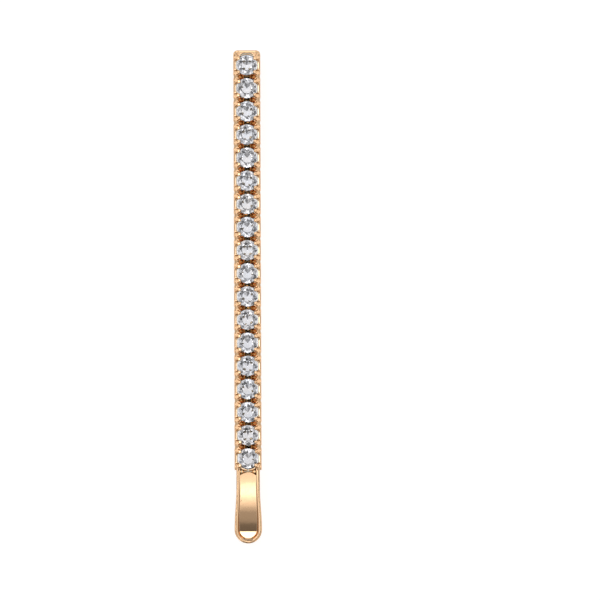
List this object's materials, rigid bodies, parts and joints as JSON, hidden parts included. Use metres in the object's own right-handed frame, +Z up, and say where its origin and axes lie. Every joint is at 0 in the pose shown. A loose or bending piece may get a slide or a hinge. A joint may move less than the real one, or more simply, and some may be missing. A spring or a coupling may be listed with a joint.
{
  "type": "hair clip",
  "caption": "Slim rose-gold hair slide: a claw-set row of round crystals ending in a plain tab with an upturned lip, over a waved spring arm; it opens at the tab against its own spring.",
  "frame": {"origin": "middle of the clip's length and width, on the surface that the lower arm lies on", "axes": "+Z up through the stones, +Y along the clip from the tab to the closed end, +X across the clip"},
  "size_m": [0.0034, 0.0628, 0.004],
  "materials": {
    "rose_gold_setting": "cast, polished and rose-gold plated",
    "rose_gold_spring": "rolled spring strip, rose-gold plated, fine rolling lines",
    "solder": "plated over, slightly rippled",
    "crystal": "clear cut crystal with a mirror-foiled back"
  },
  "bodies": {
    "lower_arm": {"spring_leg": "rose_gold_spring"},
    "rail": {"setting_rail": "rose_gold_setting", "stone_01": "crystal", "stone_02": "crystal", "stone_03": "crystal", "stone_04": "crystal", "stone_05": "crystal", "stone_06": "crystal", "stone_07": "crystal", "stone_08": "crystal", "stone_09": "crystal", "stone_10": "crystal", "stone_11": "crystal", "stone_12": "crystal", "stone_13": "crystal", "stone_14": "crystal", "stone_15": "crystal", "stone_16": "crystal", "stone_17": "crystal", "stone_18": "crystal", "pin_base": "rose_gold_spring", "solder": "solder", "spring_bend": "rose_gold_spring"}
  },
  "joints": [
    {"name": "clip_open", "type": "hinge", "parent": "lower_arm", "child": "rail", "pos_m": [0, 0.03037, 0.00097], "axis": [-1, 0, 0], "range_deg": [0, 8], "stiffness_Nm_per_rad": 0.12, "deforming": ["spring_bend"]}
  ]
}
